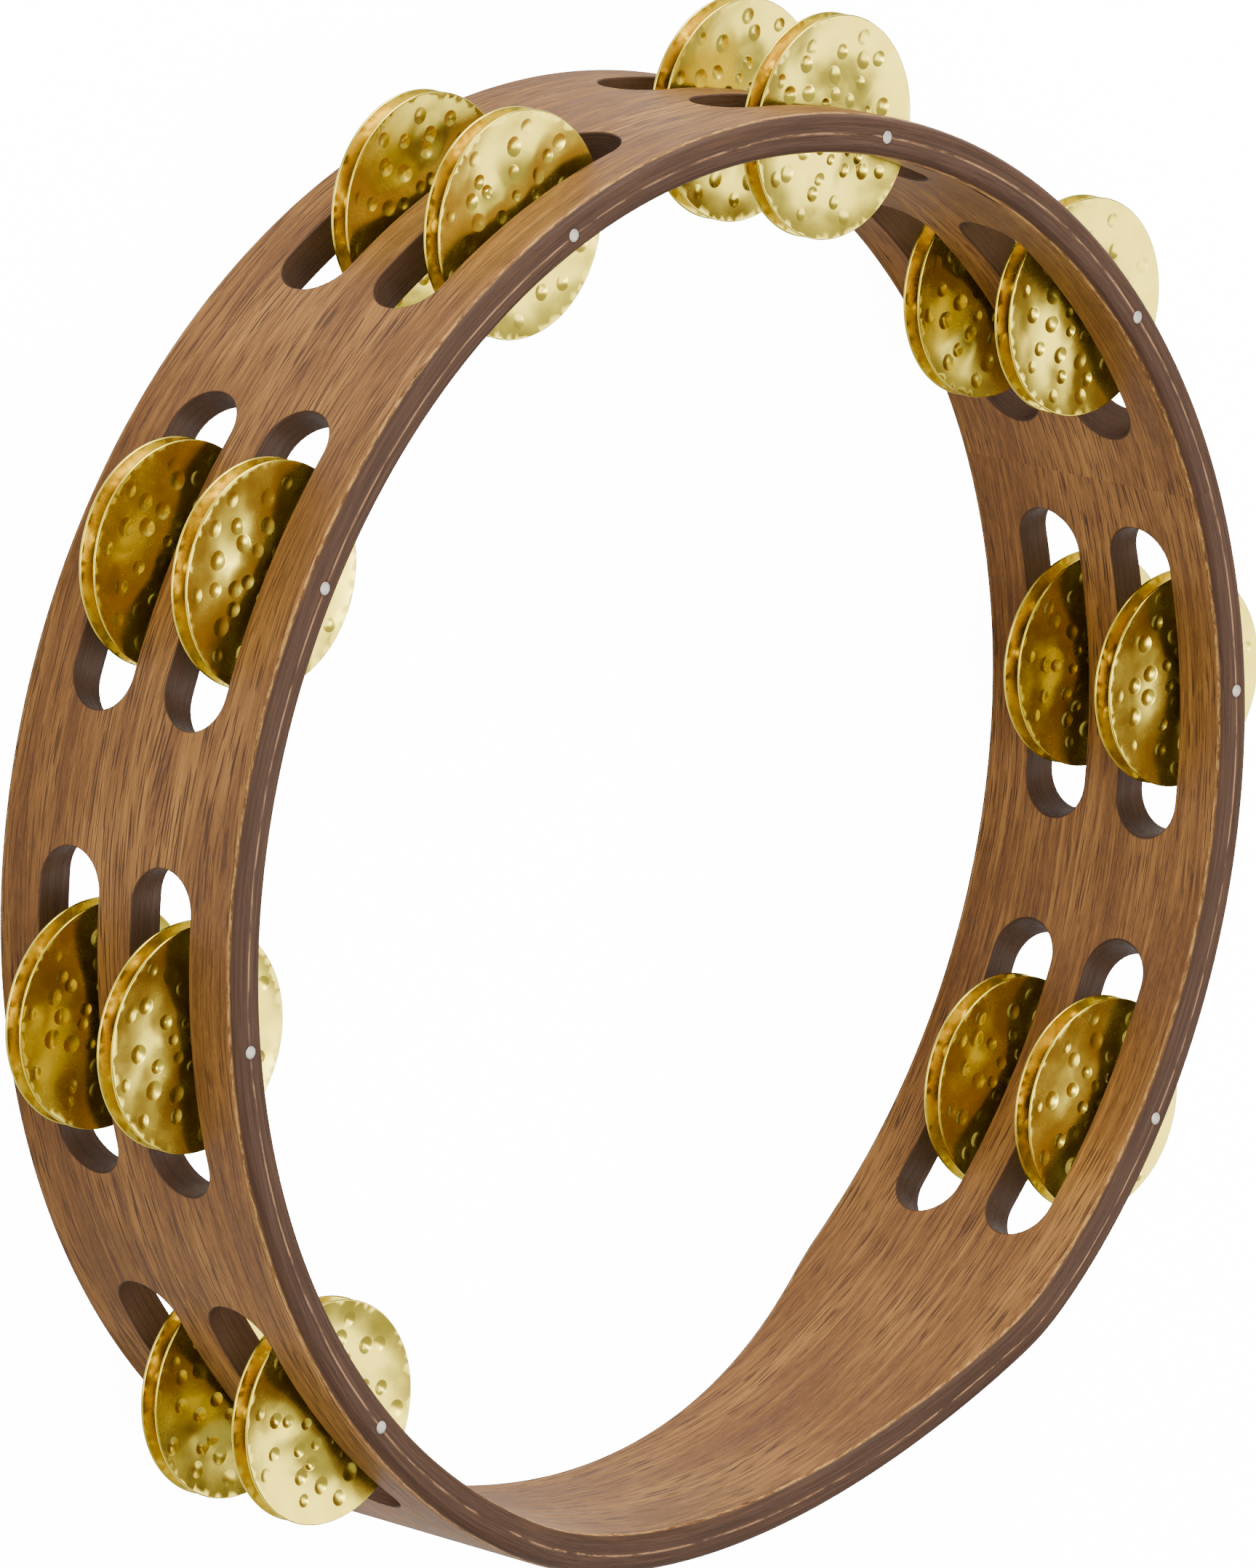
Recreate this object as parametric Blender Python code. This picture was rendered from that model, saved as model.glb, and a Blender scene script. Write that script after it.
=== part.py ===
"""A wooden hand tambourine with two rows of brass jingles and no skin.

The hoop lies flat in the XY plane with its axis along +Z.  The back rim stands
on z = 0 and the rim that shows the pin heads faces up.  The hand grip, where
two stations are left out and both rims are cut narrower, is centred on -Y.
The origin is below the middle of the whole outline, which reaches further
towards +Y because jingles stand out there, so the hoop's axis passes a little
behind it.
"""

import math

import bmesh
import bpy
from mathutils import Matrix, Vector

MM = 0.001
GAP = 0.3 * MM                     # clearance between pieces that touch

# Hoop: two bent plies glued face to face
HOOP_RADIUS = 127.0 * MM           # outside, a ten inch hoop
HOOP_WIDTH = 56.0 * MM             # along the axis
WALL = 7.0 * MM                    # both plies together
RIM_CHAMFER = 1.4 * MM
HOOP_SEGMENTS = 96

# Hand grip: a shallow arc cut into each rim
GRIP_AZIMUTH = math.radians(270)
GRIP_DEPTH = 8.6 * MM
GRIP_ARC_RADIUS = 295.0 * MM
GRIP_BLEND = 1.2 * MM              # how softly the arc runs out into the rim

# Stations: one pin each, crossing an upper and a lower slot
STATIONS = 8
STATION_STEP = math.radians(36.4)
ROW_PITCH = 21.5 * MM
SLOT_LENGTH = 57.0 * MM
SLOT_WIDTH = 13.5 * MM
SLOT_ARC_STEPS = 6                 # facets in each round end

# Pins: driven in from the upper rim, blind before the lower one
PIN_RADIUS = 1.15 * MM
PIN_CHANNEL_RADIUS = PIN_RADIUS + GAP
PIN_BLIND = 4.0 * MM               # wood left under a pin
PIN_RECESS = 0.2 * MM              # how far a head lies under the rim
PIN_SEGMENTS = 8

# Jingles: shallow dishes in pairs, hollow sides facing away from each other
JINGLE_RADIUS = 19.4 * MM
JINGLE_HOLE = 2.0 * MM
JINGLE_SHEET = 0.5 * MM
JINGLE_DISH = 1.3 * MM
JINGLE_SEGMENTS = 20
PAIR_OFFSET = 3.2 * MM             # the pairs have slid this far up their slots

MID_RADIUS = HOOP_RADIUS - WALL / 2
MID_HEIGHT = HOOP_WIDTH / 2
PAIR_HALF = JINGLE_DISH + JINGLE_SHEET / 2 + GAP / 2
REACH_AT_TOP = MID_RADIUS * math.cos(STATION_STEP / 2) + JINGLE_RADIUS
HOOP_AXIS_Y = (HOOP_RADIUS - REACH_AT_TOP) / 2


def material(name, colour, roughness, metallic):
    """Return a Principled material, made once per name."""
    made = bpy.data.materials.get(name)
    if made is None:
        made = bpy.data.materials.new(name)
        made.use_nodes = True
        shader = made.node_tree.nodes["Principled BSDF"]
        shader.inputs["Base Color"].default_value = (*colour, 1.0)
        shader.inputs["Roughness"].default_value = roughness
        shader.inputs["Metallic"].default_value = metallic
    return made


def add_hoop_axis():
    """The empty on the hoop's axis that every piece is placed from."""
    axis = bpy.data.objects.new("hoop_axis", None)
    bpy.context.scene.collection.objects.link(axis)
    axis.location = (0, HOOP_AXIS_Y, 0)
    return axis


def add_object(name, mesh, finish=None, smooth_angle=None):
    """Link a mesh to the scene as a named object, placed from the hoop's axis."""
    obj = bpy.data.objects.new(name, mesh)
    bpy.context.scene.collection.objects.link(obj)
    obj.parent = bpy.data.objects["hoop_axis"]
    if finish is not None:
        mesh.materials.append(finish)
    if smooth_angle is not None:
        mesh.shade_smooth()
        mesh.set_sharp_from_angle(angle=math.radians(smooth_angle))
    return obj


def turned(name, profile, segments, half_height=None):
    """Turn a closed (radius, height) outline about Z into a ring.

    With half_height, an outline point is (radius, sign, inset): the sign says
    which rim it belongs to, and the inset how far inside that rim it lies.
    """
    bm = bmesh.new()
    rings = []
    for index in range(segments):
        azimuth = 2 * math.pi * index / segments
        ring = []
        for point in profile:
            if half_height is None:
                radius, height = point
            else:
                radius, sign, inset = point
                height = MID_HEIGHT + sign * (half_height(azimuth) - inset)
            ring.append(bm.verts.new((
                radius * math.cos(azimuth), radius * math.sin(azimuth), height)))
        rings.append(ring)
    count = len(profile)
    for index, ring in enumerate(rings):
        following = rings[(index + 1) % segments]
        for k in range(count):
            after = (k + 1) % count
            bm.faces.new((ring[k], following[k], following[after], ring[after]))
    bmesh.ops.recalc_face_normals(bm, faces=bm.faces)
    mesh = bpy.data.meshes.new(name)
    bm.to_mesh(mesh)
    bm.free()
    return mesh


def rim_half_height(azimuth):
    """Half the hoop's width at an azimuth, less at the hand grip."""
    turn = (azimuth - GRIP_AZIMUTH + math.pi) % (2 * math.pi) - math.pi
    along = turn * HOOP_RADIUS
    cut = GRIP_DEPTH - along ** 2 / (2 * GRIP_ARC_RADIUS)
    return MID_HEIGHT - (cut + math.hypot(cut, GRIP_BLEND)) / 2


def station_azimuths():
    """Azimuths of the stations, spread evenly about +Y, opposite the grip."""
    middle = (STATIONS - 1) / 2
    return [GRIP_AZIMUTH + math.pi + (k - middle) * STATION_STEP
            for k in range(STATIONS)]


def slot_cutter(azimuths):
    """Radial prisms with round ends, one per slot."""
    bm = bmesh.new()
    straight = (SLOT_LENGTH - SLOT_WIDTH) / 2
    outline = []
    for end in (1, -1):
        for step in range(SLOT_ARC_STEPS + 1):
            angle = math.pi * (step / SLOT_ARC_STEPS - 0.5)
            outline.append((
                end * (straight + SLOT_WIDTH / 2 * math.cos(angle)),
                end * SLOT_WIDTH / 2 * math.sin(angle)))
    for azimuth in azimuths:
        for row in (-0.5, 0.5):
            place = Matrix.Rotation(azimuth, 4, "Z")
            inner, outer = [], []
            for across, up in outline:
                height = MID_HEIGHT + row * ROW_PITCH + up
                inner.append(bm.verts.new(
                    place @ Vector((HOOP_RADIUS - 3 * WALL, across, height))))
                outer.append(bm.verts.new(
                    place @ Vector((HOOP_RADIUS + WALL, across, height))))
            count = len(outline)
            bm.faces.new(inner[::-1])
            bm.faces.new(outer)
            for k in range(count):
                after = (k + 1) % count
                bm.faces.new((inner[k], inner[after], outer[after], outer[k]))
    bmesh.ops.recalc_face_normals(bm, faces=bm.faces)
    mesh = bpy.data.meshes.new("slot_cutter")
    bm.to_mesh(mesh)
    bm.free()
    return mesh


def upright_cylinders(name, azimuths, radius, low, high, segments):
    """Cylinders standing on the hoop's mid radius, one per azimuth."""
    bm = bmesh.new()
    for azimuth in azimuths:
        centre = Vector((MID_RADIUS * math.cos(azimuth),
                         MID_RADIUS * math.sin(azimuth),
                         (low + high) / 2))
        bmesh.ops.create_cone(
            bm, cap_ends=True, segments=segments, radius1=radius, radius2=radius,
            depth=high - low,
            matrix=Matrix.Translation(centre) @ Matrix.Rotation(azimuth, 4, "Z"))
    mesh = bpy.data.meshes.new(name)
    bm.to_mesh(mesh)
    bm.free()
    return mesh


def hide_cutter(obj):
    obj.hide_render = True
    obj.display_type = "WIRE"


def cut(obj, cutter):
    tool = obj.modifiers.new(cutter.name, "BOOLEAN")
    tool.operation = "DIFFERENCE"
    tool.solver = "EXACT"
    tool.object = cutter


def build_hoop(azimuths):
    """The two plies, each slotted and grooved for the pins."""
    walnut = material("walnut_ply", (0.25, 0.13, 0.065), 0.45, 0.0)
    walnut_inside = material("walnut_inner_ply", (0.30, 0.16, 0.08), 0.5, 0.0)
    slots = add_object("slot_cutter", slot_cutter(azimuths))
    channels = add_object("pin_channel_cutter", upright_cylinders(
        "pin_channel_cutter", azimuths, PIN_CHANNEL_RADIUS,
        PIN_BLIND - GAP, HOOP_WIDTH + WALL, PIN_SEGMENTS))
    hide_cutter(slots)
    hide_cutter(channels)
    joint_out = MID_RADIUS + GAP / 2
    joint_in = MID_RADIUS - GAP / 2
    inside = HOOP_RADIUS - WALL
    chamfer = RIM_CHAMFER
    outlines = {
        "outer_ply": (walnut, [
            (joint_out, -1, 0), (HOOP_RADIUS - chamfer, -1, 0),
            (HOOP_RADIUS, -1, chamfer), (HOOP_RADIUS, 1, chamfer),
            (HOOP_RADIUS - chamfer, 1, 0), (joint_out, 1, 0)]),
        "inner_ply": (walnut_inside, [
            (inside + chamfer, -1, 0), (joint_in, -1, 0),
            (joint_in, 1, 0), (inside + chamfer, 1, 0),
            (inside, 1, chamfer), (inside, -1, chamfer)]),
    }
    for name, (finish, outline) in outlines.items():
        mesh = turned(name, outline, HOOP_SEGMENTS, rim_half_height)
        ply = add_object(name, mesh, finish, smooth_angle=30)
        cut(ply, slots)
        cut(ply, channels)


def build_pins(azimuths):
    steel = material("pin_steel", (0.62, 0.60, 0.56), 0.35, 1.0)
    length = HOOP_WIDTH - PIN_BLIND - PIN_RECESS
    pin_mesh = bpy.data.meshes.new("pin")
    bm = bmesh.new()
    bmesh.ops.create_cone(
        bm, cap_ends=True, segments=PIN_SEGMENTS, radius1=PIN_RADIUS,
        radius2=PIN_RADIUS, depth=length,
        matrix=Matrix.Translation((0, 0, PIN_BLIND + length / 2)))
    bm.to_mesh(pin_mesh)
    bm.free()
    pin_mesh.materials.append(steel)
    pin_mesh.shade_smooth()
    pin_mesh.set_sharp_from_angle(angle=math.radians(45))
    for number, azimuth in enumerate(azimuths, 1):
        pin = add_object(f"pin_{number}", pin_mesh)
        pin.location = (MID_RADIUS * math.cos(azimuth),
                        MID_RADIUS * math.sin(azimuth), 0)
        pin.rotation_euler = (0, 0, azimuth)


def jingle_mesh(name, opens_up):
    """A thin conical dish about its own hole, its middle towards the partner."""
    sign = 1 if opens_up else -1
    half = JINGLE_SHEET / 2
    profile = [
        (JINGLE_HOLE, -sign * JINGLE_DISH - half),
        (JINGLE_RADIUS, -half),
        (JINGLE_RADIUS, half),
        (JINGLE_HOLE, -sign * JINGLE_DISH + half),
    ]
    return turned(name, profile, JINGLE_SEGMENTS)


def build_jingles(azimuths):
    """Two pairs on each pin: a lower dish and an upper dish in each slot."""
    brass = material("hammered_brass", (0.72, 0.53, 0.17), 0.25, 1.0)
    shapes = {}
    for place, opens_up in (("low", False), ("high", True)):
        shapes[place] = jingle_mesh(f"jingle_{place}", opens_up)
        shapes[place].materials.append(brass)
        shapes[place].shade_smooth()
        shapes[place].set_sharp_from_angle(angle=math.radians(40))
    for number, azimuth in enumerate(azimuths, 1):
        for row, side in (("bottom", -0.5), ("top", 0.5)):
            middle = MID_HEIGHT + side * ROW_PITCH + PAIR_OFFSET
            for place, away in (("low", -1), ("high", 1)):
                jingle = add_object(f"jingle_{number}_{row}_{place}", shapes[place])
                jingle.location = (MID_RADIUS * math.cos(azimuth),
                                   MID_RADIUS * math.sin(azimuth),
                                   middle + away * PAIR_HALF)
                jingle.rotation_euler = (0, 0, azimuth)


def main():
    for obj in list(bpy.data.objects):
        bpy.data.objects.remove(obj, do_unlink=True)
    add_hoop_axis()
    azimuths = station_azimuths()
    build_hoop(azimuths)
    build_pins(azimuths)
    build_jingles(azimuths)


main()
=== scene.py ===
"""The looks of a two-row wooden tambourine, built around its CAD frame.

Lengths are in metres.  The hoop lies flat on the floor with the rim that shows
the pin heads up.  Wood is placed by azimuth round the hoop, height above the
floor and radius from the hoop's axis.
"""

import math
import random

import bmesh
import bpy
from mathutils import Matrix, Vector
from mathutils.geometry import delaunay_2d_cdt


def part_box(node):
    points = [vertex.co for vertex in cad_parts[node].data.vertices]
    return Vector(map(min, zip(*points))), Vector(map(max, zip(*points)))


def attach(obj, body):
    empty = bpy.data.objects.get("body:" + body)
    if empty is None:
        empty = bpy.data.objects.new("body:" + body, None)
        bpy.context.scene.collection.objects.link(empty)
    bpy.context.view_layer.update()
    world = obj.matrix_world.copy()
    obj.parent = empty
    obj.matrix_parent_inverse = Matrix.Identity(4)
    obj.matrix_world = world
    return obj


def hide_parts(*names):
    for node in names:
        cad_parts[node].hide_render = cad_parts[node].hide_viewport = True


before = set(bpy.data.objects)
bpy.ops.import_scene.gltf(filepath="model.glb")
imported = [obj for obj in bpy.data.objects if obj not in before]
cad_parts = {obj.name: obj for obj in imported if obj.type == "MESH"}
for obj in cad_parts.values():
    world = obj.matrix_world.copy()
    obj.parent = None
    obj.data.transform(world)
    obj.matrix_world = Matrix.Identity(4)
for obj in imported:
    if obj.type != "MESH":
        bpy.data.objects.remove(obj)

MM = 0.001
UP = Vector((0, 0, 1))
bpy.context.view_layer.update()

# ---------------------------------------------------------------- dimensions
HOOP_LOW, HOOP_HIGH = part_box("outer_ply")
HOOP_RADIUS = (HOOP_HIGH.x - HOOP_LOW.x) / 2
HOOP_WIDTH = HOOP_HIGH.z - HOOP_LOW.z
HOOP_CENTRE = Vector(((HOOP_LOW.x + HOOP_HIGH.x) / 2, (HOOP_LOW.y + HOOP_HIGH.y) / 2, 0))
MID_HEIGHT = HOOP_WIDTH / 2
WALL = 7.0 * MM
INNER_RADIUS = HOOP_RADIUS - WALL
MID_RADIUS = HOOP_RADIUS - WALL / 2   # the glue line between the plies, and the pins
RIM_ROUNDING = 2.0 * MM
SLOT_ROUNDING = 0.35 * MM

GRIP_AZIMUTH = math.radians(270)
GRIP_DEPTH = 8.6 * MM
GRIP_ARC_RADIUS = 295.0 * MM
GRIP_BLEND = 1.2 * MM                 # how softly the arc runs out into the rim

STATIONS = 8
STATION_STEP = math.radians(36.4)
ROW_PITCH = 21.5 * MM
ROWS = (-0.5, 0.5)                    # in row pitches from the middle of the wall
SLOT_LENGTH = 57.0 * MM
SLOT_WIDTH = 13.5 * MM
SLOT_STRAIGHT = (SLOT_LENGTH - SLOT_WIDTH) / 2    # from a slot's middle to its round end

JINGLE_RADIUS = 19.4 * MM
JINGLE_HOLE = 1.5 * MM                # closer round the pin than the CAD's clearance hole
JINGLE_SHEET = 0.5 * MM
HALF_SHEET = JINGLE_SHEET / 2
CUP_RADIUS = 2.5 * MM                 # the flat top of the raised middle
CUP_RISE = 0.3 * MM
GROOVE_RADIUS = 13.2 * MM             # the lowest ring, between the cup and the rim
GROOVE_DEPTH = 0.7 * MM
PIN_RADIUS = 1.15 * MM

# ---------------------------------------------------------------- mesh fineness
AZIMUTH_STEPS = 480                   # columns of points round the hoop
GRID_ROWS = 15                        # bands of the wall from rim to rim
GRID_CLEARANCE = 1.1 * MM             # from a slot to the nearest grid point
SLOT_END_STEPS = 20
SLOT_SIDE_STEPS = 16
RIM_ROUNDING_STEPS = 6
SLOT_ROUNDING_STEPS = 3
SLOPE_STEP = math.radians(0.2)        # to either side, for a slope along the rim
WELD_DISTANCE = 2e-6
FLAT_TOLERANCE = 1e-7                 # below which a triangulation joins points


def turn_from(start, azimuth):
    """The angle from start to azimuth, between -pi and pi."""
    return (azimuth - start + math.pi) % (2 * math.pi) - math.pi


def rim_half_height(azimuth):
    """Half the hoop's width at an azimuth, less at the hand grip."""
    along = turn_from(GRIP_AZIMUTH, azimuth) * HOOP_RADIUS
    cut = GRIP_DEPTH - along ** 2 / (2 * GRIP_ARC_RADIUS)
    return MID_HEIGHT - (cut + math.hypot(cut, GRIP_BLEND)) / 2


def rim_slope(azimuth):
    """How fast the upper rim rises along its length at an azimuth."""
    rise = rim_half_height(azimuth + SLOPE_STEP) - rim_half_height(azimuth - SLOPE_STEP)
    return rise / (2 * SLOPE_STEP * HOOP_RADIUS)


def station_azimuth(number):
    """Azimuth of a station, the first being number 0."""
    return GRIP_AZIMUTH + math.pi + (number - (STATIONS - 1) / 2) * STATION_STEP


def column_azimuth(step):
    """Azimuth of a column of the hoop's points, counted from the grip."""
    return GRIP_AZIMUTH + 2 * math.pi * step / AZIMUTH_STEPS


def radial(azimuth):
    return Vector((math.cos(azimuth), math.sin(azimuth), 0))


def tangent(azimuth):
    return Vector((-math.sin(azimuth), math.cos(azimuth), 0))


def circle(radius, steps, x=0.0, y=0.0):
    """Evenly spaced places round a circle about (x, y)."""
    return [(x + radius * math.cos(2 * math.pi * k / steps),
             y + radius * math.sin(2 * math.pi * k / steps)) for k in range(steps)]


# ---------------------------------------------------------------- mesh helpers
def link(name, data, *materials):
    """Make an object from its data, in the scene; a mesh can be given materials too."""
    obj = bpy.data.objects.new(name, data)
    bpy.context.scene.collection.objects.link(obj)
    for finish in materials:
        data.materials.append(finish)
    return obj


class Shell:
    """A mesh under construction whose points carry their own normals."""

    def __init__(self):
        self.bm = bmesh.new()
        self.layer = self.bm.verts.layers.float_vector.new("exact_normal")

    def point(self, place, normal):
        vert = self.bm.verts.new(place)
        vert[self.layer] = normal.normalized()
        return vert

    def face(self, verts, outward):
        """Add a face, turned so that it looks along outward."""
        made = self.bm.faces.new(verts)
        made.normal_update()
        if made.normal.dot(outward) < 0:
            made.normal_flip()

    def bridge(self, loops):
        """Join each closed loop of points to the next with a strip of faces."""
        for first, second in zip(loops, loops[1:]):
            count = len(first)
            for k in range(count):
                after = (k + 1) % count
                outward = first[k][self.layer] + second[after][self.layer]
                self.face((first[k], first[after], second[after], second[k]), outward)

    def finish(self, name):
        bmesh.ops.remove_doubles(self.bm, verts=self.bm.verts, dist=WELD_DISTANCE)
        mesh = bpy.data.meshes.new(name)
        self.bm.to_mesh(mesh)
        self.bm.free()
        mesh.shade_smooth()
        normals = [Vector(item.vector) for item in mesh.attributes["exact_normal"].data]
        mesh.normals_split_custom_set_from_vertices(normals)
        mesh.attributes.remove(mesh.attributes["exact_normal"])
        return mesh


# ---------------------------------------------------------------- hoop
def slot_outline():
    """Points and outward directions round a slot: (across, up, out_across, out_up)."""
    half = SLOT_WIDTH / 2
    points = []
    for end in (1, -1):
        for step in range(SLOT_END_STEPS):
            angle = math.pi * (step / SLOT_END_STEPS - 0.5)
            across, up = end * math.cos(angle), end * math.sin(angle)
            points.append((end * SLOT_STRAIGHT + half * across, half * up, across, up))
        for step in range(SLOT_SIDE_STEPS):
            along = end * SLOT_STRAIGHT * (1 - 2 * step / SLOT_SIDE_STEPS)
            points.append((along, end * half, 0, end))
    return points


def slots():
    """Azimuth and row of each slot's middle."""
    for number in range(STATIONS):
        for row in ROWS:
            yield station_azimuth(number), row


def slot_distance(across, up):
    """Signed distance to a slot's outline from a place beside its centre."""
    return math.hypot(max(abs(across) - SLOT_STRAIGHT, 0), up) - SLOT_WIDTH / 2


def nearest_slot_distance(azimuth, height, radius):
    """Signed distance to the nearest slot's outline from a place on a wall face."""
    nearest = SLOT_LENGTH
    for number in range(STATIONS):
        turn = turn_from(station_azimuth(number), azimuth)
        if abs(turn) < STATION_STEP / 2:
            for row in ROWS:
                up = height - MID_HEIGHT - row * ROW_PITCH
                nearest = min(nearest, slot_distance(radius * math.sin(turn), up))
    return nearest


def wall_grid(radius):
    """Places over a wall face rolled flat, clear of the slots, and its border's edges."""
    points, columns = [], []
    for step in range(AZIMUTH_STEPS + 1):
        azimuth = column_azimuth(step)
        reach = rim_half_height(azimuth) - RIM_ROUNDING
        column = []
        for row in range(GRID_ROWS + 1):
            height = MID_HEIGHT + reach * (2 * row / GRID_ROWS - 1)
            on_rim = row in (0, GRID_ROWS)
            if on_rim or nearest_slot_distance(azimuth, height, MID_RADIUS) > GRID_CLEARANCE:
                column.append(len(points))
                points.append(Vector((azimuth * radius, height)))
        columns.append(column)
    edges = []
    for here, there in zip(columns, columns[1:]):
        edges.append((here[0], there[0]))
        edges.append((here[-1], there[-1]))
    for column in (columns[0], columns[-1]):
        edges.extend(zip(column, column[1:]))
    return points, edges


def add_slot_outlines(points, edges, radius):
    """Add each slot's opening, with its rounding, to a wall face rolled flat."""
    for middle, row in slots():
        first = len(points)
        for across, up, out_across, out_up in slot_outline():
            across += out_across * SLOT_ROUNDING
            up += out_up * SLOT_ROUNDING
            azimuth = middle + math.asin(across / radius)
            azimuth = GRIP_AZIMUTH + (azimuth - GRIP_AZIMUTH) % (2 * math.pi)
            height = MID_HEIGHT + row * ROW_PITCH + up
            points.append(Vector((azimuth * radius, height)))
        count = len(points) - first
        edges.extend((first + k, first + (k + 1) % count) for k in range(count))


def add_wall_face(shell, radius, outward):
    """The round wall face of a ply, pierced by the slots."""
    points, edges = wall_grid(radius)
    add_slot_outlines(points, edges, radius)
    places, _, faces, _, _, _ = delaunay_2d_cdt(points, edges, [], 0, FLAT_TOLERANCE)
    verts = []
    for place in places:
        azimuth = place.x / radius
        spot = HOOP_CENTRE + radial(azimuth) * radius + UP * place.y
        verts.append(shell.point(spot, radial(azimuth) * outward))
    for corners in faces:
        azimuth = sum(places[k].x for k in corners) / len(corners) / radius
        height = sum(places[k].y for k in corners) / len(corners)
        if abs(height - MID_HEIGHT) > rim_half_height(azimuth) - RIM_ROUNDING:
            continue
        if nearest_slot_distance(azimuth, height, radius) < SLOT_ROUNDING / 2:
            continue
        shell.face([verts[k] for k in corners], radial(azimuth) * outward)


def rounding_rings(radius, outward, rounding, steps):
    """The rings that lead from a wall face, round an edge, to the glue line.

    Each is (radius, inset from the edge, face's share and edge's share of the normal).
    """
    rings = []
    for step in range(steps + 1):
        angle = math.pi / 2 * step / steps
        face_share, edge_share = math.cos(angle), math.sin(angle)
        rings.append((radius - outward * rounding * (1 - face_share),
                      rounding * (1 - edge_share), face_share, edge_share))
    rings.append((MID_RADIUS, 0, 0, 1))
    return rings


def add_rims(shell, radius, outward):
    """The rounded arris and the flat half of each rim."""
    for side in (-1, 1):
        loops = []
        for r, inset, face_share, edge_share in rounding_rings(radius, outward, RIM_ROUNDING,
                                                               RIM_ROUNDING_STEPS):
            loop = []
            for step in range(AZIMUTH_STEPS):
                azimuth = column_azimuth(step)
                height = MID_HEIGHT + side * (rim_half_height(azimuth) - inset)
                rim_normal = (UP * side - tangent(azimuth) * rim_slope(azimuth)).normalized()
                normal = radial(azimuth) * outward * face_share + rim_normal * edge_share
                spot = HOOP_CENTRE + radial(azimuth) * r + UP * height
                loop.append(shell.point(spot, normal))
            loops.append(loop)
        shell.bridge(loops)


def add_slot_walls(shell, radius, outward):
    """Each slot's small rounding and its wall as far as the glue line."""
    rings = rounding_rings(radius, outward, SLOT_ROUNDING, SLOT_ROUNDING_STEPS)
    for middle, row in slots():
        loops = []
        for r, inset, face_share, edge_share in rings:
            loop = []
            for across, up, out_across, out_up in slot_outline():
                across += out_across * inset
                up += out_up * inset
                along = radial(middle) * math.sqrt(r * r - across * across)
                spot = HOOP_CENTRE + along + tangent(middle) * across
                spot += UP * (MID_HEIGHT + row * ROW_PITCH + up)
                into_slot = -(tangent(middle) * out_across + UP * out_up)
                away = radial(middle + math.asin(across / r)) * outward
                loop.append(shell.point(spot, away * face_share + into_slot * edge_share))
            loops.append(loop)
        shell.bridge(loops)


def build_ply(name, node, radius, outward, finish):
    """One ply, from its wall face to the glue line; outward is 1 outside, -1 inside."""
    shell = Shell()
    add_wall_face(shell, radius, outward)
    add_rims(shell, radius, outward)
    add_slot_walls(shell, radius, outward)
    ply = link(name, shell.finish(name), finish)
    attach(ply, "hoop")
    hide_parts(node)
    return ply


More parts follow.
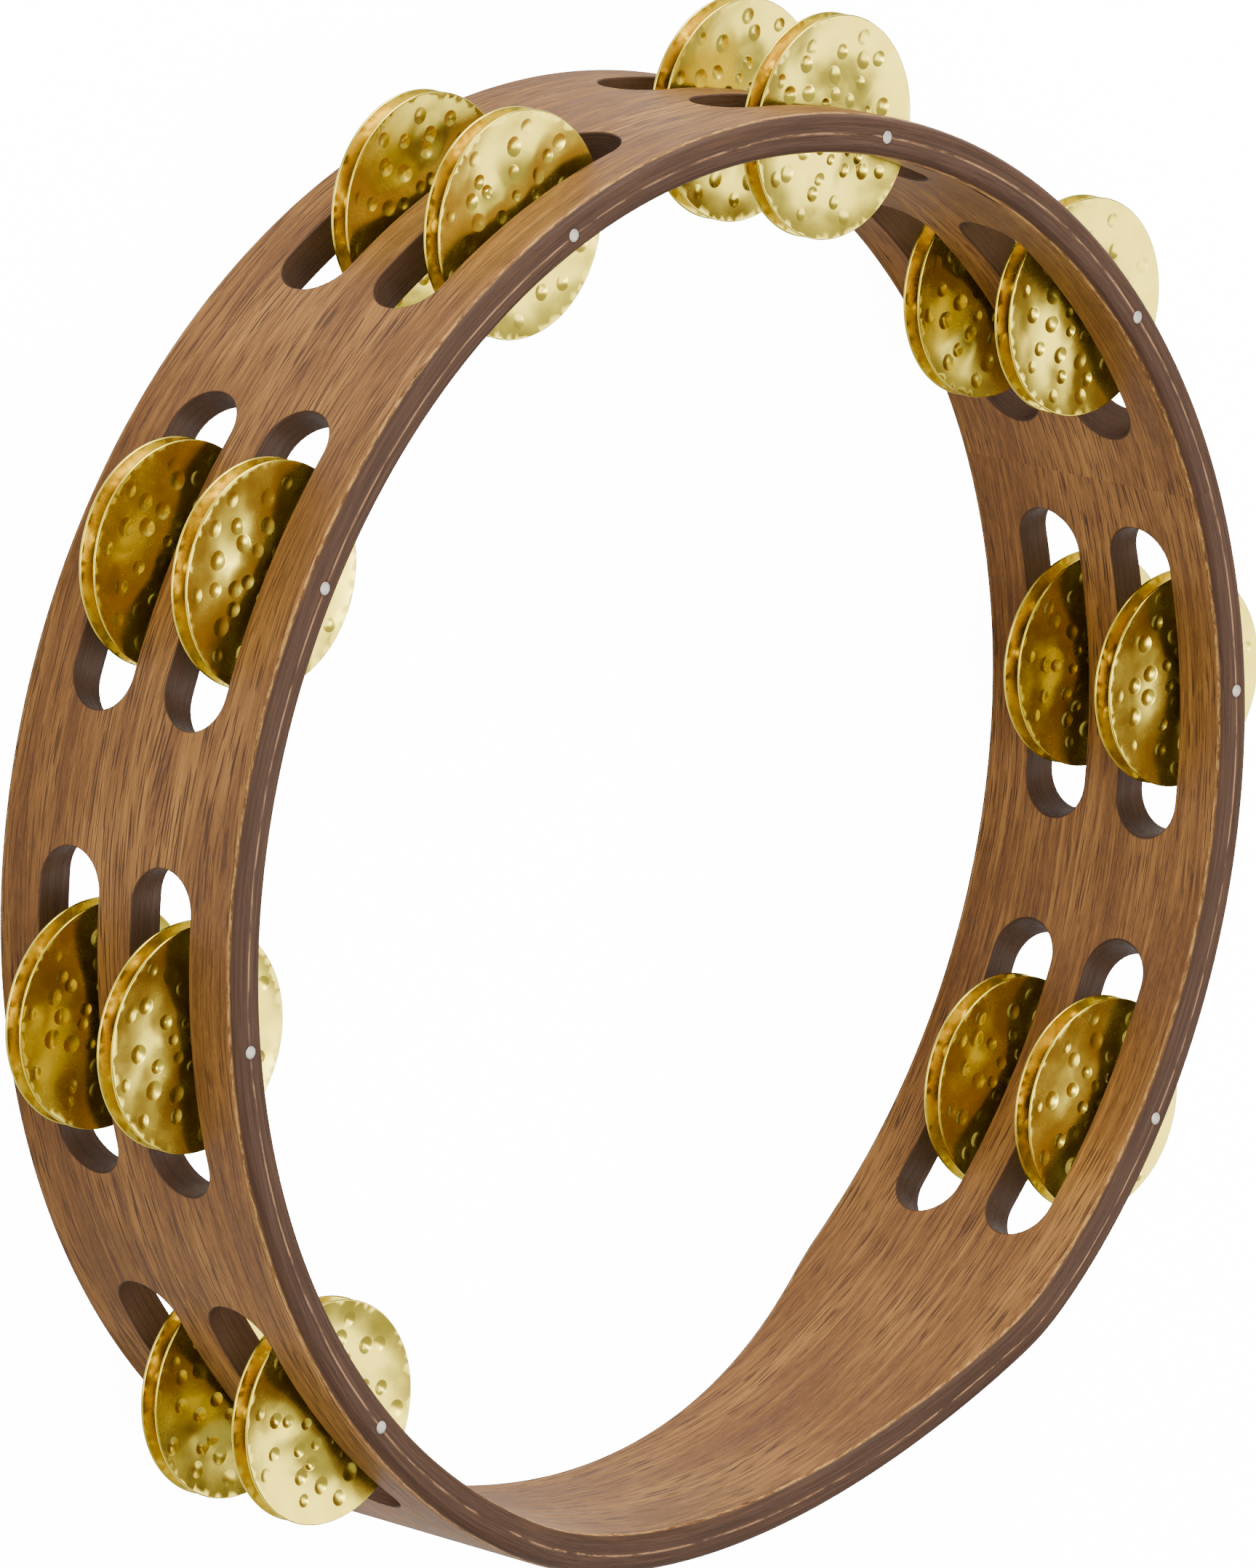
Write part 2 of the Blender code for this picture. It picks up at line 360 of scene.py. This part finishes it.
# ---------------------------------------------------------------- node helpers
class Nodes:
    """Short calls for the nodes of one material."""

    COLOUR_A, COLOUR_B, COLOUR_OUT = 6, 7, 2    # the Mix node's sockets for colours

    def __init__(self, name):
        self.material = bpy.data.materials.new(name)
        self.material.use_nodes = True
        self.tree = self.material.node_tree
        self.shader = self.tree.nodes["Principled BSDF"]

    def put(self, target, value):
        """Link a socket to target, or set target to a plain value."""
        if isinstance(value, bpy.types.NodeSocket):
            self.tree.links.new(value, target)
        else:
            target.default_value = value

    def math(self, operation, a, b=0.0):
        node = self.tree.nodes.new("ShaderNodeMath")
        node.operation = operation
        self.put(node.inputs[0], a)
        self.put(node.inputs[1], b)
        return node.outputs[0]

    def plus(self, a, b):
        return self.math("ADD", a, b)

    def minus(self, a, b):
        return self.math("SUBTRACT", a, b)

    def times(self, a, b):
        return self.math("MULTIPLY", a, b)

    def absolute(self, value):
        return self.math("ABSOLUTE", value)

    def hypot(self, a, b):
        return self.math("SQRT", self.plus(self.times(a, a), self.times(b, b)))

    def ramp(self, value, low, high, out_low=0.0, out_high=1.0):
        """A soft step from out_low to out_high as value goes from low to high."""
        node = self.tree.nodes.new("ShaderNodeMapRange")
        node.interpolation_type = "SMOOTHSTEP"
        for target, item in zip(node.inputs, (value, low, high, out_low, out_high)):
            self.put(target, item)
        return node.outputs[0]

    def combine(self, x, y, z):
        node = self.tree.nodes.new("ShaderNodeCombineXYZ")
        for target, value in zip(node.inputs, (x, y, z)):
            self.put(target, value)
        return node.outputs[0]

    def separate(self, vector):
        node = self.tree.nodes.new("ShaderNodeSeparateXYZ")
        self.put(node.inputs[0], vector)
        return node.outputs

    def noise(self, vector, scale, detail, roughness):
        node = self.tree.nodes.new("ShaderNodeTexNoise")
        self.put(node.inputs["Vector"], vector)
        self.put(node.inputs["Scale"], scale)
        self.put(node.inputs["Detail"], detail)
        self.put(node.inputs["Roughness"], roughness)
        return node.outputs["Fac"]

    def mix(self, factor, a, b):
        """The colour a where factor is 0, b where it is 1."""
        node = self.tree.nodes.new("ShaderNodeMix")
        node.data_type = "RGBA"
        self.put(node.inputs[0], factor)
        for socket, value in ((self.COLOUR_A, a), (self.COLOUR_B, b)):
            if isinstance(value, tuple):
                value = (*value, 1.0)
            self.put(node.inputs[socket], value)
        return node.outputs[self.COLOUR_OUT]

    def bump(self, height, distance, strength):
        node = self.tree.nodes.new("ShaderNodeBump")
        self.put(node.inputs["Height"], height)
        self.put(node.inputs["Distance"], distance)
        self.put(node.inputs["Strength"], strength)
        return node.outputs[0]

    def place(self):
        """A point's place in the object, as (x, y, z) in metres."""
        node = self.tree.nodes.new("ShaderNodeTexCoord")
        return self.separate(node.outputs["Object"])

    def facing_up(self):
        """How level the surface is: 0 on an upright wall, 1 on a flat top or underside."""
        node = self.tree.nodes.new("ShaderNodeNewGeometry")
        return self.absolute(self.separate(node.outputs["Normal"])[2])


# ---------------------------------------------------------------- wood
LIGHT_WOOD = (0.345, 0.168, 0.045)
MID_WOOD = (0.222, 0.097, 0.025)
DARK_WOOD = (0.102, 0.040, 0.013)
# the dark of the pores, also used for the painted shadow round each pin
PORE_AND_PIN_SHADOW = (0.040, 0.016, 0.008)
RIM_WOOD = (0.074, 0.036, 0.019)
RIM_DARK = (0.042, 0.020, 0.011)
# the slot walls' cut wood, painted darker than the rim's as shade inside the slots
SHADED_SLOT_WOOD = (0.062, 0.031, 0.018)
WORN_WOOD = (0.620, 0.340, 0.100)
GLUE_LINE = (0.430, 0.230, 0.110)

SCARF_AZIMUTH = math.radians(17)      # where the bent veneer's ends overlap
GRAIN_WAVE = 9.0                      # millimetres that the grain strays up and down
GLUE_WAVE = 0.9                       # millimetres that the glue line strays in and out
PORE_STRENGTH = 0.85
GLUE_STRENGTH = 0.62
WEAR_STRENGTH = 0.60
PIN_SHADOW = 0.55
WOOD_SPECULAR = 0.16
WOOD_RELIEF = 0.06 * MM               # from a pore's floor to the surface


class WoodNodes(Nodes):
    """Nodes that know a point's place on the hoop and the grain there.

    arc, up, depth and across are in millimetres: round the hoop from opposite the
    scarf, over the floor, out from the axis, and sideways from a station's middle.
    by_stations is 1 where the stations are and 0 at the grip.
    """

    def __init__(self, name):
        super().__init__(name)
        x, y, z = self.place()
        x = self.minus(x, HOOP_CENTRE.x)
        y = self.minus(y, HOOP_CENTRE.y)
        self.up = self.math("DIVIDE", z, MM)
        self.depth = self.math("DIVIDE", self.hypot(x, y), MM)
        self.arc = self.times(self.angle(x, y, SCARF_AZIMUTH), MID_RADIUS / MM)
        azimuth = self.angle(x, y, GRIP_AZIMUTH)
        station_share = self.math("FRACT", self.math("DIVIDE", azimuth, STATION_STEP))
        from_station = self.times(self.minus(station_share, 0.5), STATION_STEP)
        self.across = self.times(self.depth, self.math("SINE", from_station))
        self.by_stations = self.math("LESS_THAN", self.absolute(azimuth), STATION_STEP * STATIONS / 2)

        self.blotch = self.grain(0.022, 0.055, 0.3, detail=3.0, roughness=0.55)
        wander = self.grain(0.010, 0.05, 1.0, detail=2.0, roughness=0.5)
        waved = self.plus(self.up, self.times(wander, GRAIN_WAVE))
        self.streak = self.grain(0.018, 0.75, 0.5, detail=5.0, roughness=0.62, up=waved)
        self.fine = self.grain(0.35, 3.4, 1.5, detail=4.0, roughness=0.75, up=waved)
        self.veneer = self.grain(0.05, 0.0, 2.4, detail=4.0, roughness=0.6)
        pores = self.grain(0.11, 3.3, 1.1, detail=1.0, roughness=0.5, up=waved)
        self.pores = self.times(self.ramp(pores, 0.560, 0.625),
                                self.ramp(self.blotch, 0.30, 0.60, 0.45, 1.0))

    def angle(self, x, y, jump):
        """Angle round the axis from -pi to pi, which jumps back at the azimuth jump."""
        turned_x = self.plus(self.times(x, -math.cos(jump)), self.times(y, -math.sin(jump)))
        turned_y = self.minus(self.times(x, math.sin(jump)), self.times(y, math.cos(jump)))
        return self.math("ARCTAN2", turned_y, turned_x)

    def grain(self, round_scale, up_scale, depth_scale, detail, roughness, up=None):
        """Noise whose scales are per millimetre round the hoop, up it and out from its axis."""
        place = self.combine(self.times(self.arc, round_scale),
                             self.times(self.up if up is None else up, up_scale),
                             self.times(self.depth, depth_scale))
        return self.noise(place, 1.0, detail, roughness)


def slot_mask(n):
    """1 on the walls of the slots, 0 elsewhere."""
    from_row = n.minus(n.absolute(n.minus(n.up, MID_HEIGHT / MM)), ROW_PITCH / 2 / MM)
    past_straight = n.math("MAXIMUM", n.minus(n.absolute(n.across), SLOT_STRAIGHT / MM), 0.0)
    slot_gap = n.minus(n.hypot(past_straight, from_row), SLOT_WIDTH / 2 / MM)
    return n.times(n.ramp(slot_gap, 0.45, 0.05), n.by_stations)


def face_colour(n):
    """Streaked veneer with fine grain and dark pores."""
    tone = n.plus(n.times(n.streak, 0.75), n.times(n.blotch, 0.55))
    face = n.mix(n.ramp(tone, 0.42, 0.88), DARK_WOOD, MID_WOOD)
    face = n.mix(n.ramp(tone, 0.58, 0.98), face, LIGHT_WOOD)
    face = n.mix(n.ramp(n.fine, 0.40, 0.72, 0.0, 0.32), face, LIGHT_WOOD)
    face = n.mix(n.ramp(n.fine, 0.50, 0.25, 0.0, 0.45), face, DARK_WOOD)
    return n.mix(n.times(n.pores, PORE_STRENGTH), face, PORE_AND_PIN_SHADOW)


def rim_colour(n):
    """Dark veneer edges, a broken pale glue line and a shadow round each pin."""
    rim = n.mix(n.ramp(n.veneer, 0.35, 0.70), RIM_DARK, RIM_WOOD)
    scuff = n.grain(0.12, 1.0, 1.0, detail=5.0, roughness=0.7)
    stray = n.minus(n.grain(0.03, 0.0, 0.0, detail=2.0, roughness=0.5), 0.5)
    from_middle = n.minus(n.depth, MID_RADIUS / MM)
    from_glue = n.absolute(n.minus(from_middle, n.times(stray, GLUE_WAVE)))
    glue = n.times(n.ramp(from_glue, 0.30, 0.04), n.ramp(scuff, 0.40, 0.58))
    rim = n.mix(n.times(glue, GLUE_STRENGTH), rim, GLUE_LINE)
    # painted shadow: a dark ring round each pin where it enters the rim
    pin_shadow_ring = n.times(n.ramp(n.hypot(n.across, from_middle), 1.75, 1.25), n.by_stations)
    return n.mix(n.times(pin_shadow_ring, PIN_SHADOW), rim, PORE_AND_PIN_SHADOW)


def wood_material(name):
    """Stained, bent walnut veneer: grain runs round the hoop."""
    n = WoodNodes(name)
    facing_up = n.facing_up()
    in_slot = slot_mask(n)
    off_slot = n.minus(1.0, in_slot)
    on_rim = n.times(n.ramp(facing_up, 0.30, 0.62), off_slot)
    on_arris = n.times(n.ramp(facing_up, 0.16, 0.30), n.ramp(facing_up, 0.56, 0.38))
    wear = n.grain(0.34, 1.6, 1.6, detail=5.0, roughness=0.75)
    worn = n.times(n.times(on_arris, off_slot), n.ramp(wear, 0.42, 0.60))

    colour = n.mix(on_rim, face_colour(n), rim_colour(n))
    colour = n.mix(n.times(worn, WEAR_STRENGTH), colour, WORN_WOOD)
    # slot walls: the cut wood's own dark tone, partly darkened further with painted shade inside the
    # slots
    shaded_slot_wall = n.mix(n.ramp(n.veneer, 0.35, 0.7), SHADED_SLOT_WOOD, RIM_DARK)
    n.put(n.shader.inputs["Base Color"], n.mix(in_slot, colour, shaded_slot_wall))

    roughness = n.plus(n.ramp(n.streak, 0.3, 0.7, 0.46, 0.58), n.times(on_rim, 0.06))
    n.put(n.shader.inputs["Roughness"], roughness)
    n.put(n.shader.inputs["Specular IOR Level"], WOOD_SPECULAR)
    relief = n.minus(n.times(n.fine, 0.35), n.pores)
    n.put(n.shader.inputs["Normal"], n.bump(relief, WOOD_RELIEF, 0.7))
    return n.material


# ---------------------------------------------------------------- metals
BRASS = (0.750, 0.600, 0.070)
LIGHT_BRASS = (0.880, 0.720, 0.085)
DULL_BRASS = (0.430, 0.330, 0.060)
STEEL_DARK = (0.34, 0.31, 0.27)
STEEL_LIGHT = (0.60, 0.56, 0.49)


def brass_material():
    """Bright brass whose tone and polish change slowly, with small dull specks."""
    n = Nodes("polished_brass")
    x, y, z = n.place()
    place = n.combine(n.math("DIVIDE", x, MM), n.math("DIVIDE", y, MM), n.math("DIVIDE", z, MM))
    cloud = n.noise(place, 0.16, 3.0, 0.5)
    speck = n.noise(place, 2.2, 3.0, 0.7)
    colour = n.mix(n.ramp(cloud, 0.35, 0.70), BRASS, LIGHT_BRASS)
    colour = n.mix(n.ramp(speck, 0.66, 0.74, 0.0, 0.35), colour, DULL_BRASS)
    roughness = n.plus(n.ramp(cloud, 0.3, 0.7, 0.21, 0.28), n.ramp(speck, 0.60, 0.75, 0.0, 0.06))
    n.put(n.shader.inputs["Base Color"], colour)
    n.put(n.shader.inputs["Metallic"], 1.0)
    n.put(n.shader.inputs["Roughness"], roughness)
    return n.material


def steel_material():
    """Dull, lightly pitted steel."""
    n = Nodes("pin_steel")
    x, y, _ = n.place()
    place = n.combine(n.math("DIVIDE", x, MM), n.math("DIVIDE", y, MM), 0.0)
    pits = n.noise(place, 3.0, 4.0, 0.7)
    n.put(n.shader.inputs["Base Color"], n.mix(n.ramp(pits, 0.3, 0.7), STEEL_DARK, STEEL_LIGHT))
    n.put(n.shader.inputs["Metallic"], 0.85)
    n.put(n.shader.inputs["Roughness"], n.ramp(pits, 0.3, 0.7, 0.38, 0.55))
    n.put(n.shader.inputs["Normal"], n.bump(pits, 0.05 * MM, 0.5))
    return n.material


# ---------------------------------------------------------------- jingles
DISC_STEPS = 120                      # points round the rim, three times those round the hole
SHEET_SPACING = 1.2 * MM              # between points where the sheet is plain
EDGE_DEGREES = (90, 45, 0, -45, -90)  # round a disc's edge, from its upper side to its lower
DENT_RINGS = (                        # radius, count, dent radius, depth
    (5.0 * MM, 8, 1.20 * MM, 0.27 * MM),
    (8.9 * MM, 9, 1.50 * MM, 0.32 * MM),
    (12.6 * MM, 11, 1.60 * MM, 0.30 * MM),
    (16.2 * MM, 10, 1.45 * MM, 0.20 * MM),
)
DENT_SHIFT = 0.25                     # sideways, as a share of the spacing round a ring
DENT_DRIFT = 0.9                      # millimetres in or out from a ring
DENT_SIZES = (0.8, 1.1)               # least and most, as shares of the dent radius
DENT_DEPTHS = (0.6, 1.2)              # least and most, as shares of the depth
DENT_SHARPNESS = 1.35
HOLLOW_REACH = 3                      # a dent's broad hollow, in dent radii
HOLLOW_SHARE = 0.50                   # its depth, as a share of the dent's
DENT_LOOPS = (                        # rings of points round a dent: dent radii, count
    (0.30, 8), (0.58, 12), (0.80, 14), (0.94, 16), (1.06, 16), (1.30, 14),
)
LOOP_GAP = 0.10                       # dent radii kept free outside another dent's loops
GRID_GAP = 0.25                       # the same for the plain sheet's points
NORMAL_STEP = 0.02 * MM               # to either side, for a slope of the sheet

JINGLE_SHAPES = 6                     # different discs, used again and again
JINGLE_SEED = 7
LEAN = math.radians(1.6)              # the pairs tip on their pins, all the same way
LEAN_AZIMUTH = math.radians(156)
LEAN_SPREAD = 0.5                     # degrees that a pair strays from that


def dents(seed):
    """Hammer marks on loose rings: (x, y, radius, depth)."""
    pick = random.Random(seed)
    marks = []
    for radius, count, size, depth in DENT_RINGS:
        start = pick.uniform(0, 2 * math.pi)
        for k in range(count):
            angle = start + 2 * math.pi * (k + pick.uniform(-DENT_SHIFT, DENT_SHIFT)) / count
            reach = radius + pick.uniform(-DENT_DRIFT, DENT_DRIFT) * MM
            marks.append((reach * math.cos(angle), reach * math.sin(angle),
                          size * pick.uniform(*DENT_SIZES), depth * pick.uniform(*DENT_DEPTHS)))
    return marks


def ease(share):
    """A soft step from 0 to 1."""
    share = min(max(share, 0), 1)
    return share * share * (3 - 2 * share)


def jingle_height(x, y, marks):
    """Height of the sheet's middle over the rim: cup, groove and hammer marks."""
    reach = math.hypot(x, y)
    if reach < GROOVE_RADIUS:
        fall = ease((reach - CUP_RADIUS) / (GROOVE_RADIUS - CUP_RADIUS))
        height = CUP_RISE - (CUP_RISE + GROOVE_DEPTH) * fall
    else:
        share = (reach - GROOVE_RADIUS) / (JINGLE_RADIUS - GROOVE_RADIUS)
        height = GROOVE_DEPTH * (share * share - 1)
    for mark_x, mark_y, size, depth in marks:
        away = ((x - mark_x) ** 2 + (y - mark_y) ** 2) / size ** 2
        if away < HOLLOW_REACH ** 2:
            height -= HOLLOW_SHARE * depth * (1 - away / HOLLOW_REACH ** 2) ** 2
        if away < 1:
            height -= depth * (1 - away) ** DENT_SHARPNESS
    return height


def jingle_normal(x, y, marks):
    """The sheet's upward normal."""
    step = NORMAL_STEP
    slope_x = jingle_height(x + step, y, marks) - jingle_height(x - step, y, marks)
    slope_y = jingle_height(x, y + step, marks) - jingle_height(x, y - step, marks)
    return Vector((-slope_x, -slope_y, 2 * step)).normalized()


def sheet_points(marks):
    """Flat places over a disc, close together round each hammer mark."""
    hole, rim = JINGLE_HOLE + HALF_SHEET, JINGLE_RADIUS - HALF_SHEET
    near, far = hole + SHEET_SPACING / 3, rim - SHEET_SPACING / 3
    last_loop = DENT_LOOPS[-1][0]
    points = circle(hole, DISC_STEPS // 3) + circle(rim, DISC_STEPS)

    def free(x, y, others, reach):
        inside = near < math.hypot(x, y) < far
        return inside and all(math.hypot(x - m[0], y - m[1]) > reach * m[2] for m in others)

    for index, (mark_x, mark_y, size, _) in enumerate(marks):
        for share, steps in DENT_LOOPS:
            for x, y in circle(share * size, steps, mark_x, mark_y):
                if free(x, y, marks[:index], last_loop + LOOP_GAP):
                    points.append((x, y))
    # The plain sheet between them: a triangular grid, each second row half a step along
    count = int(2 * JINGLE_RADIUS / SHEET_SPACING)
    for row in range(-count, count):
        for column in range(-count, count):
            x = (column + 0.5 * (row % 2)) * SHEET_SPACING
            y = row * SHEET_SPACING * math.sqrt(0.75)
            if free(x, y, marks, last_loop + GRID_GAP):
                points.append((x, y))
    return [Vector(place) for place in points]


def add_sheet_sides(shell, marks):
    """The upper and lower side of a disc."""
    places, _, faces, _, _, _ = delaunay_2d_cdt(sheet_points(marks), [], [], 0, FLAT_TOLERANCE)
    for side in (1, -1):
        verts = []
        for x, y in places:
            height = jingle_height(x, y, marks) + side * HALF_SHEET
            verts.append(shell.point((x, y, height), jingle_normal(x, y, marks) * side))
        for corners in faces:
            middle = sum((places[k] for k in corners), Vector((0, 0))) / len(corners)
            if middle.length > JINGLE_HOLE + HALF_SHEET:
                shell.face([verts[k] for k in corners], UP * side)


def add_sheet_edge(shell, marks, radius, outward, steps):
    """A disc's rounded edge, at the rim or round the hole."""
    loops = []
    for degrees in EDGE_DEGREES:
        out, lift = math.cos(math.radians(degrees)), math.sin(math.radians(degrees))
        loop = []
        for x, y in circle(radius, steps):
            away = Vector((x, y, 0)).normalized() * outward
            spot = Vector((x, y, jingle_height(x, y, marks) + HALF_SHEET * lift))
            loop.append(shell.point(spot + away * HALF_SHEET * out, away * out + UP * lift))
        loops.append(loop)
    shell.bridge(loops)


def jingle_mesh(seed):
    """A hammered disc with its cup up and its rim at z = 0."""
    marks = dents(seed)
    shell = Shell()
    add_sheet_sides(shell, marks)
    add_sheet_edge(shell, marks, JINGLE_RADIUS - HALF_SHEET, 1, DISC_STEPS)
    add_sheet_edge(shell, marks, JINGLE_HOLE + HALF_SHEET, -1, DISC_STEPS // 3)
    return shell.finish(f"hammered_disc_{seed}")


def build_jingles(brass):
    """Two pairs of discs at each station; the lower disc of a pair lies upside down."""
    pick = random.Random(JINGLE_SEED)
    shapes = [jingle_mesh(seed) for seed in range(JINGLE_SHAPES)]
    for shape in shapes:
        shape.materials.append(brass)
    for number in range(1, STATIONS + 1):
        azimuth = station_azimuth(number - 1)
        for row in ("bottom", "top"):
            lean = LEAN * math.cos(azimuth - LEAN_AZIMUTH)
            tilt = lean + math.radians(pick.uniform(-LEAN_SPREAD, LEAN_SPREAD))
            for place in ("low", "high"):
                node = f"jingle_{number}_{row}_{place}"
                low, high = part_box(node)
                spot = (low + high) / 2
                spot.z = high.z - HALF_SHEET if place == "high" else low.z + HALF_SHEET
                disc = link(f"disc_{number}_{row}_{place}", pick.choice(shapes))
                flip = 0 if place == "high" else math.pi
                turn = Matrix.Rotation(azimuth, 4, "Z") @ Matrix.Rotation(tilt, 4, "Y")
                turn = turn @ Matrix.Rotation(flip, 4, "X")
                turn = turn @ Matrix.Rotation(pick.uniform(0, 2 * math.pi), 4, "Z")
                disc.matrix_world = Matrix.Translation(spot) @ turn
                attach(disc, node)
                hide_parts(node)


# ---------------------------------------------------------------- pins
PIN_PROUD = 0.10 * MM                 # how far a head's rim stands over the wood
PIN_STEPS = 32
PIN_EDGE = 0.22 * MM                  # rounding of the head's rim
PIN_EDGE_ANGLES = (0.4, 0.8, 1.2)     # points round that rounding, in radians
PIN_FLAT = PIN_RADIUS * 0.55
PIN_CROWN = 0.02 * MM                 # how far the head's middle rises further
PIN_SHARP_ANGLE = math.radians(50)


def pin_mesh(name, foot_height):
    """A rod about z with a rounded head at the upper rim."""
    top = HOOP_WIDTH + PIN_PROUD
    profile = [(PIN_RADIUS, foot_height), (PIN_RADIUS, top - PIN_EDGE)]
    profile += [(PIN_RADIUS - PIN_EDGE * (1 - math.cos(angle)), top - PIN_EDGE * (1 - math.sin(angle)))
                for angle in PIN_EDGE_ANGLES]
    profile.append((PIN_FLAT, top))
    bm = bmesh.new()
    loops = []
    for radius, height in profile:
        loops.append([bm.verts.new((x, y, height)) for x, y in circle(radius, PIN_STEPS)])
    foot = bm.verts.new((0, 0, foot_height))
    crown = bm.verts.new((0, 0, top + PIN_CROWN))
    for first, second in zip(loops, loops[1:]):
        for k in range(PIN_STEPS):
            after = (k + 1) % PIN_STEPS
            bm.faces.new((first[k], first[after], second[after], second[k]))
    for k in range(PIN_STEPS):
        after = (k + 1) % PIN_STEPS
        bm.faces.new((foot, loops[0][after], loops[0][k]))
        bm.faces.new((crown, loops[-1][k], loops[-1][after]))
    bmesh.ops.recalc_face_normals(bm, faces=bm.faces)
    mesh = bpy.data.meshes.new(name)
    bm.to_mesh(mesh)
    bm.free()
    mesh.shade_smooth()
    mesh.set_sharp_from_angle(angle=PIN_SHARP_ANGLE)
    return mesh


def build_pins(steel):
    for number in range(1, STATIONS + 1):
        node = f"pin_{number}"
        low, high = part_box(node)
        centre = (low + high) / 2
        name = f"pin_rod_{number}"
        rod = link(name, pin_mesh(name, low.z), steel)
        rod.location = (centre.x, centre.y, 0)
        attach(rod, "hoop")
        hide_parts(node)


# ---------------------------------------------------------------- studio
CAMERA_AZIMUTH = math.radians(156.64)
CAMERA_POLAR = math.radians(48.28)    # from the hoop's axis
CAMERA_ROLL = math.radians(103.34)    # the axis points right and a little down
CAMERA_DISTANCE = 2.226
CAMERA_LENS = 297.7                   # millimetres, on a sensor of 36 on its long side
CAMERA_SENSOR = 36.0
CAMERA_CLIP = 20.0
AIM_FROM_CENTRE = Vector((0, 6.7 * MM, -3.0 * MM))
BACKDROP_GLOW = 14.0                  # as the camera sees it, not as a light
WORLD_TINT = (1.0, 0.97, 0.92, 1)
WORLD_STRENGTH = 0.55
FLOOR_REACH = 6.0
FLOOR_TONE = (0.85, 0.85, 0.85, 1)
FLOOR_ROUGHNESS = 0.9
SOFTBOXES = (                         # name, azimuth, polar angle, distance, width, height, watts
    ("mirror_box", -24, 42, 1.3, 0.62, 0.85, 6.2),
    ("dent_box", -24, 14, 1.3, 0.32, 0.32, 4.5),
    ("top_box", 75, 62, 1.4, 0.9, 0.9, 30),
    ("camera_box", 165, 35, 1.8, 1.2, 1.2, 30),
)


def direction(azimuth, polar):
    """Unit vector from the hoop's middle: azimuth round its axis, polar angle from it."""
    return Vector((math.sin(polar) * math.cos(azimuth), math.sin(polar) * math.sin(azimuth),
                   math.cos(polar)))


def add_camera():
    back = direction(CAMERA_AZIMUTH, CAMERA_POLAR)
    up = (UP - back * back.z).normalized()
    up = Matrix.Rotation(CAMERA_ROLL, 3, back) @ up
    right = up.cross(back)
    aim = HOOP_CENTRE + UP * MID_HEIGHT + AIM_FROM_CENTRE
    data = bpy.data.cameras.new("camera")
    data.sensor_width = CAMERA_SENSOR
    data.lens = CAMERA_LENS
    data.clip_end = CAMERA_CLIP
    camera = link("camera", data)
    turn = Matrix((right, up, back)).transposed().to_4x4()
    camera.matrix_world = Matrix.Translation(aim + back * CAMERA_DISTANCE) @ turn
    bpy.context.scene.camera = camera


def add_softbox(name, azimuth, polar, distance, width, height, power):
    """A rectangular soft light that looks at the middle of the hoop; angles in degrees."""
    data = bpy.data.lights.new(name, "AREA")
    data.shape = "RECTANGLE"
    data.size, data.size_y = width, height
    data.energy = power
    lamp = link(name, data)
    away = direction(math.radians(azimuth), math.radians(polar))
    lamp.location = HOOP_CENTRE + UP * MID_HEIGHT + away * distance
    lamp.rotation_mode = "QUATERNION"
    lamp.rotation_quaternion = away.to_track_quat("Z", "Y")


def camera_only(tree, shader_seen, shader_else):
    """shader_seen where the camera looks straight at it, shader_else for all other light."""
    path = tree.nodes.new("ShaderNodeLightPath")
    mix = tree.nodes.new("ShaderNodeMixShader")
    tree.links.new(path.outputs["Is Camera Ray"], mix.inputs[0])
    tree.links.new(shader_else, mix.inputs[1])
    tree.links.new(shader_seen, mix.inputs[2])
    return mix.outputs[0]


def add_world():
    """A dim warm surround that the camera sees as plain white."""
    world = bpy.data.worlds.new("studio")
    world.use_nodes = True
    tree = world.node_tree
    lit = tree.nodes["Background"]
    lit.inputs["Color"].default_value = WORLD_TINT
    lit.inputs["Strength"].default_value = WORLD_STRENGTH
    seen = tree.nodes.new("ShaderNodeBackground")
    seen.inputs["Color"].default_value = (1, 1, 1, 1)
    seen.inputs["Strength"].default_value = BACKDROP_GLOW
    tree.links.new(camera_only(tree, seen.outputs[0], lit.outputs[0]),
                   tree.nodes["World Output"].inputs["Surface"])
    bpy.context.scene.world = world


def add_floor():
    """A pale floor that the camera sees as plain white."""
    mesh = bpy.data.meshes.new("floor")
    corners = [(-FLOOR_REACH, -FLOOR_REACH, 0), (FLOOR_REACH, -FLOOR_REACH, 0),
               (FLOOR_REACH, FLOOR_REACH, 0), (-FLOOR_REACH, FLOOR_REACH, 0)]
    mesh.from_pydata(corners, [], [(0, 1, 2, 3)])
    n = Nodes("pale_floor")
    n.put(n.shader.inputs["Base Color"], FLOOR_TONE)
    n.put(n.shader.inputs["Roughness"], FLOOR_ROUGHNESS)
    glow = n.tree.nodes.new("ShaderNodeEmission")
    glow.inputs["Strength"].default_value = BACKDROP_GLOW
    add = n.tree.nodes.new("ShaderNodeAddShader")
    n.tree.links.new(glow.outputs[0], add.inputs[0])
    n.tree.links.new(n.shader.outputs[0], add.inputs[1])
    n.tree.links.new(camera_only(n.tree, add.outputs[0], n.shader.outputs[0]),
                     n.tree.nodes["Material Output"].inputs["Surface"])
    floor = link("floor", mesh, n.material)


def main():
    wood = wood_material("walnut")
    outer = build_ply("outer_veneer", "outer_ply", HOOP_RADIUS, 1, wood)
    inner = build_ply("inner_veneer", "inner_ply", INNER_RADIUS, -1, wood)
    build_pins(steel_material())
    build_jingles(brass_material())
    add_floor()
    add_world()
    add_camera()
    for softbox in SOFTBOXES:
        add_softbox(*softbox)


main()
